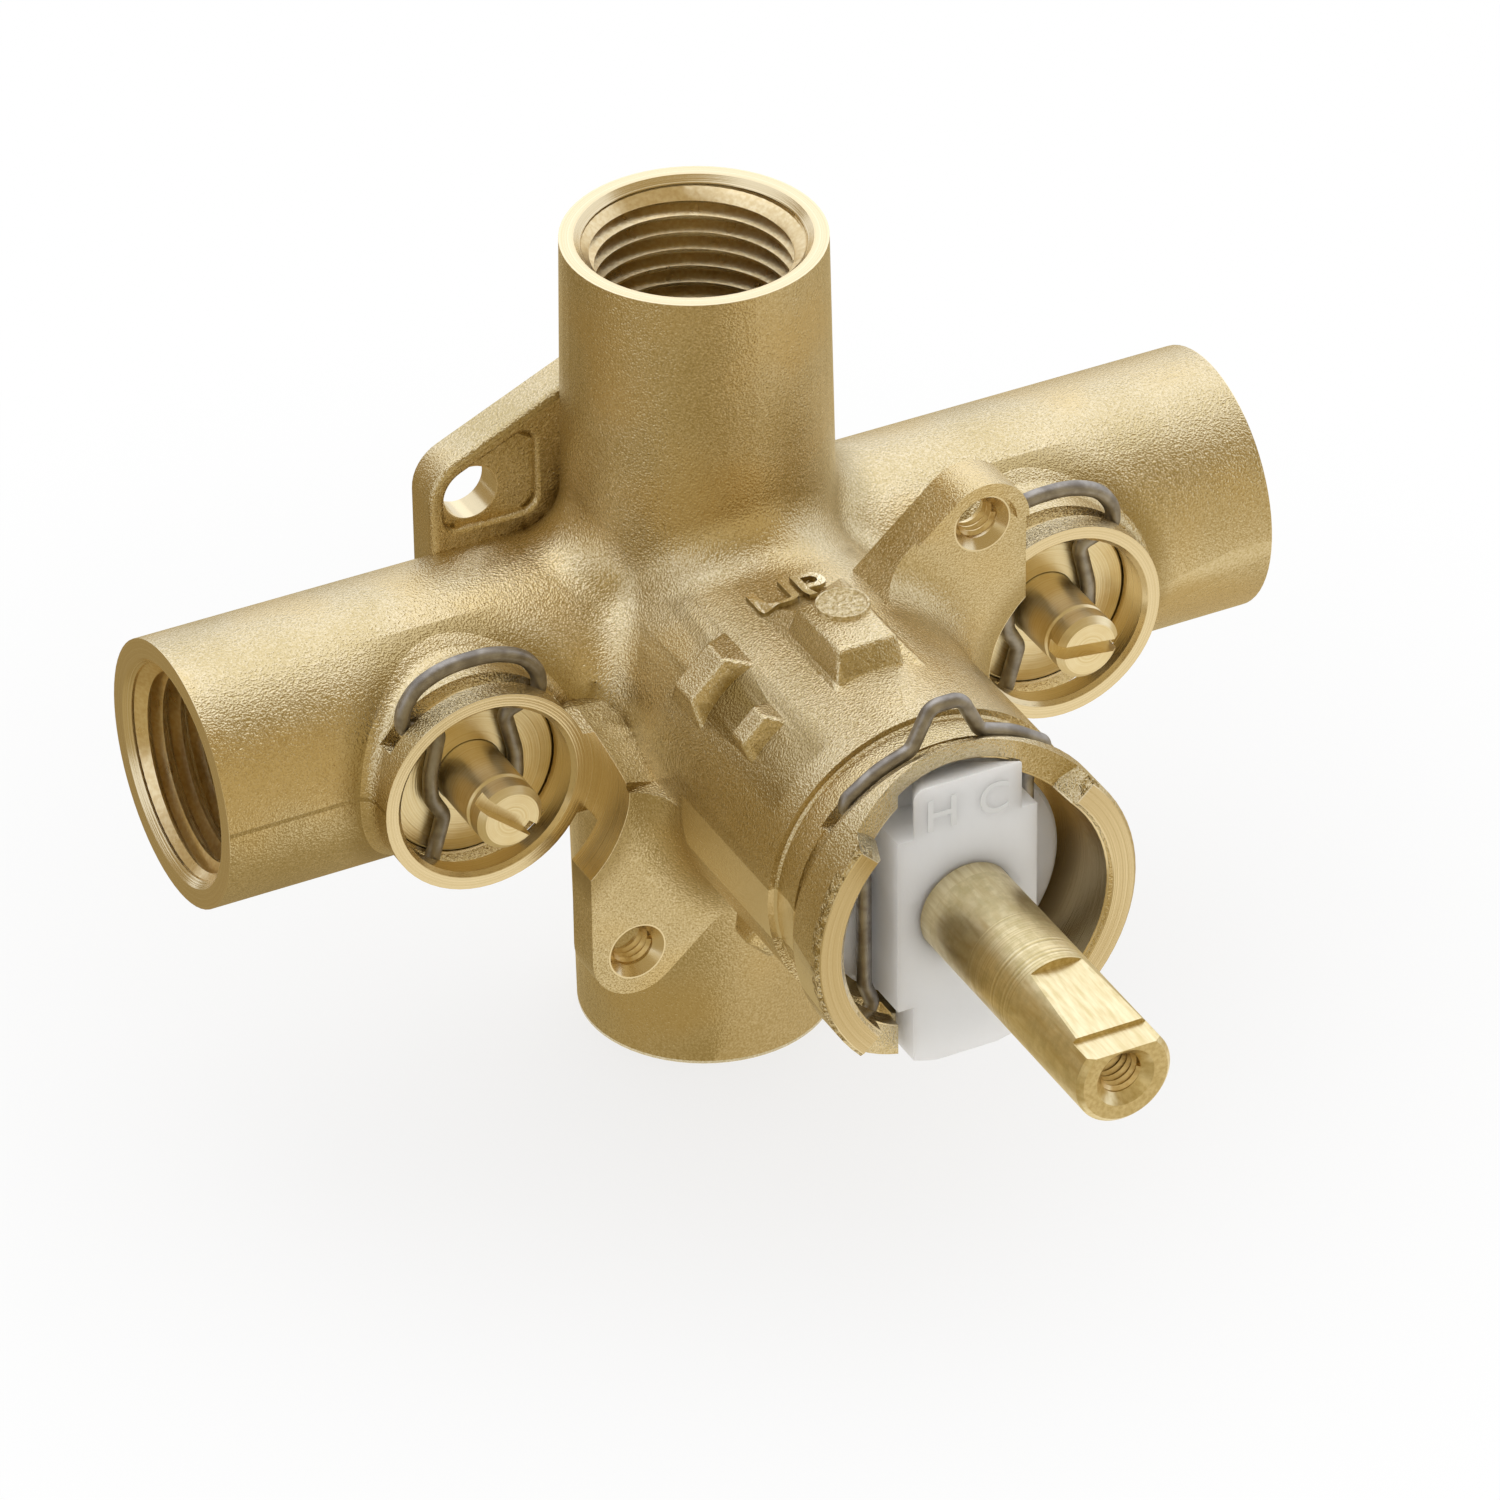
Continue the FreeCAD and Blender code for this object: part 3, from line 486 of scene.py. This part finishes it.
def drafted_block(name, place, size, end, draft, slide, edge):
    """Block with round edges whose top (end 1) or foot (end -1) is scaled and slid sideways."""
    bpy.ops.object.select_all(action="DESELECT")
    bpy.ops.mesh.primitive_cube_add(size=1, location=place)
    piece = new_piece(name)
    bpy.ops.object.mode_set(mode="EDIT")
    bpy.ops.mesh.select_all(action="SELECT")
    bpy.ops.transform.resize(value=size)
    pick(piece, lambda corner: corner.z * end > 0)
    bpy.ops.transform.resize(value=(*draft, 1))
    bpy.ops.transform.translate(value=(*slide, 0))
    bpy.ops.mesh.select_all(action="SELECT")
    bpy.ops.mesh.bevel(offset=edge, segments=3, affect="EDGES")
    bpy.ops.mesh.normals_make_consistent(inside=False)
    bpy.ops.object.mode_set(mode="OBJECT")
    piece.data.materials.append(cast_brass)
    return piece


block_place, block_size = (-0.0004, -0.0414, 0.01635), (0.0060, 0.0082, 0.0037)
block_draft, block_slide, block_edge = (1.24, 1.34), (-0.0005, -0.0006), 0.00045
block = drafted_block(
    "gate_block", block_place, block_size, -1, block_draft, block_slide, block_edge)
settle(block)
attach(block, "valve")


# Lower lug: a small cast stop under the barrel on the hot side, across the parting line from
# the lugs above. It shows in profile, with the draft of the mould on all four sides.

lug_place, lug_size = (0, -0.0445, 0.0158), (0.0058, 0.0050, 0.0026)
lug_draft, lug_slide, lug_edge, lug_turn = (0.62, 0.5), (0, 0), 0.0005, math.radians(-135)
lug = drafted_block("lower_lug", lug_place, lug_size, 1, lug_draft, lug_slide, lug_edge)
bpy.ops.object.transform_apply(location=True)
lug.rotation_euler = (0, lug_turn, 0)
settle(lug)
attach(lug, "valve")


# Gate pad: the rough round stub where the metal was poured in, broken off and left low on
# top of the block. It keeps a thin rim round a torn middle.

torn_brass, spot = new_finish("torn_brass")
broken = spot.grain(1.9, 3.0, 0.7)
broken_dark, broken_pale = (0.56, 0.44, 0.21, 1), (0.90, 0.80, 0.57, 1)
shade(torn_brass, {
    "Base Color": broken.fade(0.35, 0.62).blend(broken_dark, broken_pale),
    "Metallic": 1.0,
    "Roughness": broken.fade(0.3, 0.7, 0.5, 0.25),
    "Normal": broken.relief(0.35),
})
pad_place, pad_radius, pad_rise, pad_top = (0.00035, -0.0391, 0.01795), 0.0026, 0.0006, 0.96
rim_width, dip_width, dip_depth = 0.00018, 0.00012, 0.00015
bpy.ops.object.select_all(action="DESELECT")
bpy.ops.mesh.primitive_circle_add(
    vertices=44, radius=pad_radius, fill_type="NGON", location=pad_place)
pad = new_piece("gate_pad")
bpy.ops.object.mode_set(mode="EDIT")
bpy.ops.mesh.select_all(action="SELECT")
bpy.ops.mesh.extrude_region_move(TRANSFORM_OT_translate={"value": (0, 0, pad_rise)})
bpy.ops.transform.resize(value=(pad_top, pad_top, 1))
bpy.ops.mesh.inset(thickness=rim_width)
bpy.ops.mesh.inset(thickness=dip_width, depth=-dip_depth)
bpy.ops.mesh.select_all(action="SELECT")
bpy.ops.mesh.normals_make_consistent(inside=False)
bpy.ops.object.mode_set(mode="OBJECT")
pad.data.materials.append(torn_brass)
settle(pad)
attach(pad, "valve")


# Balance spool and sleeve: a ground steel spool slides in a moulded grey sleeve deep in the
# cartridge, and evens the pressure of the two supplies. The rotor before it is moulded too.

ground_steel, spot = new_finish("ground_spool_steel")
wheel_lines = spot.axis(1).rings(14.0)
film = spot.grain(0.5, 2.0)
steel_dark, steel_pale = (0.50, 0.50, 0.51, 1), (0.66, 0.66, 0.65, 1)
shade(ground_steel, {
    "Base Color": film.blend(steel_dark, steel_pale),
    "Metallic": 1.0,
    "Roughness": 0.2 + wheel_lines * 0.16,
    "Normal": wheel_lines.relief(0.008),
})
dress(ground_steel, "balance_spool")

grey_plastic, spot = new_finish("moulded_grey_plastic")
flow = spot.grain(0.3, 3.0)
mould = spot.grain(6.0, 2.0)
grey_dark, grey_pale = (0.12, 0.12, 0.125, 1), (0.17, 0.17, 0.175, 1)
shade(grey_plastic, {
    "Base Color": flow.blend(grey_dark, grey_pale),
    "Roughness": 0.42 + mould * 0.16,
    "Normal": mould.relief(0.012),
})
dress(grey_plastic, "balance_sleeve", "mixing_rotor")


# O-rings, inlet seals and stop washers: moulded black rubber, greased when fitted, so they
# are dull with a few shinier smears.

black_rubber, spot = new_finish("greased_black_rubber")
smear = spot.grain(0.6, 2.0)
tooth = spot.grain(7.0, 2.0)
rubber_dark, rubber_pale = (0.012, 0.012, 0.013, 1), (0.03, 0.03, 0.031, 1)
shade(black_rubber, {
    "Base Color": smear.blend(rubber_dark, rubber_pale),
    "Roughness": smear.fade(0.4, 0.65, 0.62, 0.3),
    "Normal": tooth.relief(0.012),
})
rubber_parts = [name for name in valve if "oring" in name or "seal" in name or "washer" in name]
dress(black_rubber, *rubber_parts)


# Cartridge shell: one moulding of milky white plastic, closed at the back by a cap. Its front
# plate and key tab sit in the barrel mouth, with a fine mould grain and thin flow streaks.

white_plastic, spot = new_finish("moulded_white_plastic")
streak = spot.stretched((1.0, 1.0, 0.25)).grain(0.35, 3.0)
mould = spot.grain(5.0, 2.0)
milk_dark, milk_pale = (0.80, 0.805, 0.80, 1), (0.88, 0.885, 0.88, 1)
light_depth = 0.008
shade(white_plastic, {
    "Base Color": streak.blend(milk_dark, milk_pale),
    "Roughness": 0.38 + mould * 0.16,
    "Subsurface Weight": 1.0,
    "Subsurface Radius": (1.0, 1.0, 1.0),
    "Subsurface Scale": light_depth,
    "Normal": mould.relief(0.01),
})
dress(white_plastic, "cartridge_shell", "cartridge_rear_cap")


# Hot and cold letters: H and C moulded on the key tab in the same plastic as the shell, barely
# raised. They tell which way round the cartridge goes in.

# painted shade: the moulded letters are coloured greyer than the shell, standing in for the
# shadows round their raised edges
shaded_letter_plastic, spot = new_finish("shaded_letter_plastic")
cloudy = spot.grain(0.9, 2.0)
shadow_dark, shadow_pale = (0.66, 0.66, 0.64, 1), (0.74, 0.74, 0.72, 1)
shade(shaded_letter_plastic, {
    "Base Color": cloudy.blend(shadow_dark, shadow_pale),
    "Roughness": 0.4 + cloudy * 0.15,
    "Normal": cloudy.relief(0.01),
})
tab_width, tab_height, tab_bold, tab_rise = 0.0029, 0.0033, 0.00004, 0.00006
tab_y, tab_z = -0.0639, 0.0112
for name, text, tab_x in (("letter_h", "H", -0.0026), ("letter_c", "C", 0.0027)):
    sign = letter(name, text, tab_width, tab_height, tab_bold)
    raise_letter(sign, tab_rise, shaded_letter_plastic, shaded_letter_plastic)
    sign.rotation_euler = (math.pi / 2, 0, 0)
    sign.location = (tab_x, tab_y, tab_z)
    settle(sign)
    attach(sign, "valve")


# Cartridge stem: turned brass rod with a stepped flat milled for the handle and a tapped end.
# Its round sides are tarnished in patches from handling, while the flat is still bright.

stem_brass, spot = new_finish("tarnished_stem_brass")
x, y, z = spot.axis(0), spot.axis(1), spot.axis(2)
stem_radius, plate_face, shank_start, shank_end = 4.55, -55.0, -62.0, -70.0
feed_lines = y.rings(3.6)
drawn = spot.stretched((1.0, 0.12, 1.0)).grain(2.4, 3.0)
patch = spot.grain(0.8, 4.0, 0.6)
round_side = (span(x, z) > stem_radius) & (y < plate_face)
shank = (y < shank_start) & (y > shank_end)
tarnish = (patch + drawn * 0.4).fade(0.55, 0.9) * (0.1 + round_side * 0.45)
stem_dark, stem_pale = (0.72, 0.60, 0.33, 1), (0.93, 0.83, 0.57, 1)
stem_tarnish = (0.56, 0.47, 0.22, 1)
bright = (shank * feed_lines + (1 - shank) * drawn).fade(0.25, 0.75).blend(stem_dark, stem_pale)
shade(stem_brass, {
    "Base Color": tarnish.blend(bright, stem_tarnish),
    "Metallic": 1.0,
    "Roughness": 0.27 + drawn * 0.1 + tarnish * 0.15,
    "Normal": (shank * feed_lines + drawn * 0.4).relief(0.03),
})
dress(stem_brass, "cartridge_stem")

stem_turns, stem_end_y = 12, -0.0925
stem_thread = thread_ridge(
    "stem_end_thread", screw_root, screw_crest, screw_pitch, stem_turns, tapped_brass)
stem_thread.location = (0, stem_end_y, 0)
stem_thread.rotation_euler = (math.pi / 2, 0, 0)
settle(stem_thread)
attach(stem_thread, "stem")


# Spring clips: drawn steel wire bent cold. The large clip holds the cartridge in the barrel
# mouth, a small one holds each stop bonnet. The wire is dull grey brown with a drawn grain.

spring_wire, spot = new_finish("dull_spring_wire")
film = spot.grain(0.7, 3.0)
drawn = spot.grain(5.0, 3.0)
wire_dark, wire_pale = (0.27, 0.25, 0.235, 1), (0.45, 0.43, 0.415, 1)
shade(spring_wire, {
    "Base Color": film.fade(0.3, 0.7).blend(wire_dark, wire_pale),
    "Metallic": 1.0,
    "Roughness": 0.38 + drawn * 0.18,
    "Normal": drawn.relief(0.015),
})
dress(spring_wire, "cartridge_clip", "hot_stop_clip", "cold_stop_clip")


# Service stops: a turned brass bonnet in each boss guides a slotted spindle, which drives the
# poppet and its washer onto the seat. Tool rings show on the bonnet's face and the spindle.

stop_brass, spot = new_finish("turned_stop_brass")
x, y, z = spot.axis(0), spot.axis(1), spot.axis(2)
off_stop = span(abs(x) - stop_x, z)
tool_lines = (off_stop + y).rings(5.5)
dull = spot.grain(0.5, 3.0)
bonnet_dark, bonnet_pale = (0.82, 0.69, 0.42, 1), (0.97, 0.88, 0.65, 1)
shade(stop_brass, {
    "Base Color": (tool_lines * 0.6 + dull * 0.5).fade(0.3, 0.8).blend(bonnet_dark, bonnet_pale),
    "Metallic": 1.0,
    "Roughness": 0.27 + dull * 0.14,
    "Normal": tool_lines.relief(0.02),
})
for side in ("hot", "cold"):
    dress(stop_brass, side + "_stop_bonnet", side + "_stop_spindle", side + "_stop_poppet")


# Table, light and camera: a white table, a wide soft light overhead and one behind, with brown
# and cream cards standing and lying round the valve so that the brass has something to mirror.

def card(name, width, depth, place, turn):
    """Flat sheet of the stage, its place and turn put into its mesh."""
    bpy.ops.object.select_all(action="DESELECT")
    bpy.ops.mesh.primitive_grid_add(
        x_subdivisions=2, y_subdivisions=2, size=1, location=place, rotation=turn)
    sheet = new_piece(name)
    bpy.ops.object.mode_set(mode="EDIT")
    bpy.ops.mesh.select_all(action="SELECT")
    bpy.ops.transform.resize(value=(width, depth, 1), orient_type="LOCAL")
    bpy.ops.object.mode_set(mode="OBJECT")
    bpy.ops.object.transform_apply(location=True, rotation=True, scale=True)
    return sheet


def glowing(tree, kind, colour, strength):
    return Wire(tree).node(kind, None, {"Color": (*colour, 1), "Strength": strength})


def show(tree, output, surface):
    Wire(tree).feed(tree.nodes[output].inputs, {"Surface": surface})


def seen_ray(tree):
    """One for a ray from the camera, a mirror or glass, and nothing for all others."""
    rays = Wire(tree)
    from_camera = rays.node("LightPath", out="Is Camera Ray")
    from_mirror = rays.node("LightPath", out="Is Glossy Ray")
    return from_camera | from_mirror | rays.node("LightPath", out="Is Transmission Ray")


white, table_z = (1, 1, 1), -0.0425
table = card("table", 8.0, 8.0, (0, 0, table_z), (0, 0, 0))
table_white = bpy.data.materials.new("white_table")
table_white.use_nodes = True
tree = table_white.node_tree
lit = Wire(tree).node("BsdfDiffuse", None, {"Color": (0.86, 0.86, 0.86, 1)})
table_place = Wire(tree).node("TexCoord", out="Object")
off_valve = Wire(tree).node("VectorMath", {"operation": "LENGTH"}, {0: table_place}, "Value")
near, far, near_white = 0.06, 0.13, 0.75
white_share = seen_ray(tree) * off_valve.fade(near, far, near_white, 1.0)
pure = glowing(tree, "Emission", white, 1.0)
mixed = Wire(tree).node("MixShader", None, {0: white_share, 1: lit, 2: pure})
show(tree, "Material Output", mixed)
table.data.materials.append(table_white)

room = bpy.data.worlds.new("white_room")
bpy.context.scene.world = room
room.use_nodes = True
tree = room.node_tree
room_light = 0.95
fill = glowing(tree, "Background", white, room_light)
pure = glowing(tree, "Background", white, 1.0)
mixed = Wire(tree).node("MixShader", None, {0: seen_ray(tree), 1: fill, 2: pure})
show(tree, "World Output", mixed)

side_swing = math.atan2(0.62, 0.42)
cards = (
    ("left_front_card", 0.6, 0.6, (-0.305, -0.3, -0.0422), 0, 0, (0.46, 0.365, 0.19)),
    ("right_front_card", 0.5, 0.6, (0.245, -0.3, -0.0422), 0, 0, (0.65, 0.54, 0.34)),
    ("left_back_card", 0.6, 0.4, (-0.32, 0.2, -0.0422), 0, 0, (0.36, 0.27, 0.125)),
    ("right_back_card", 0.5, 0.4, (0.23, 0.2, -0.0422), 0, 0, (0.60, 0.49, 0.28)),
    ("near_card", 0.12, 0.05, (0.03, -0.076, -0.0419), 0, 0, (0.96, 0.88, 0.70)),
    ("ear_card", 0.05, 0.035, (0.068, -0.115, -0.0418), 0, 0, (0.96, 0.88, 0.70)),
    ("standing_card", 1.9, 0.42, (-0.1, -0.62, 0.17), 90, 0, (0.64, 0.525, 0.30)),
    ("side_card", 0.9, 0.5, (-0.62, 0.42, 0.2), 90, side_swing, (0.40, 0.30, 0.145)),
    ("leaning_card", 1.9, 0.62, (-0.1, -0.46, 0.62), 50, 0, (0.44, 0.335, 0.16)),
)
for name, width, depth, place, lean, swing, colour in cards:
    sheet = card(name, width, depth, place, (math.radians(lean), 0, swing))
    paper = bpy.data.materials.new(name + "_paper")
    paper.use_nodes = True
    tree = paper.node_tree
    show(tree, "Material Output", glowing(tree, "Emission", colour, 1.0))
    sheet.data.materials.append(paper)
    sheet.visible_camera = False
    sheet.visible_diffuse = False
    sheet.visible_shadow = False


def soft_light(name, size, place, aim, power):
    bpy.ops.object.light_add(type="AREA", location=place)
    lamp = bpy.context.object
    lamp.name = name
    lamp.data.shape = "RECTANGLE"
    lamp.data.size, lamp.data.size_y = size
    lamp.data.energy = power
    lamp.rotation_euler = (Vector(aim) - Vector(place)).to_track_quat("-Z", "Y").to_euler()


lit_point = (0, -0.02, 0)
soft_light("overhead_light", (1.0, 0.8), (0.1, 0.25, 0.9), lit_point, 1.1)
soft_light("back_light", (0.7, 0.5), (0.55, 0.75, 0.55), lit_point, 0.4)

turn, tilt, roll = math.radians(-26.363), math.radians(33.290), math.radians(-0.914)
picture, focal, centre_x, centre_y, sensor, distance = 1500, 9424, 700.03, 621.19, 36, 0.8901
back = Vector((math.sin(turn) * math.cos(tilt), -math.cos(turn) * math.cos(tilt), math.sin(tilt)))
bpy.ops.object.camera_add()
camera = bpy.context.object
camera.data.sensor_width = sensor
camera.data.lens = focal / picture * sensor
camera.data.shift_x = (picture / 2 - centre_x) / picture
camera.data.shift_y = -(picture / 2 - centre_y) / picture
camera.data.clip_start = 0.1
camera.rotation_mode = "QUATERNION"
camera.location = Vector((0, pipe_y, 0)) + back * distance
camera.rotation_quaternion = (-back).to_track_quat("-Z", "Y") @ Quaternion((0, 0, 1), roll)
bpy.context.scene.camera = camera
bpy.context.scene.view_settings.view_transform = "Standard"
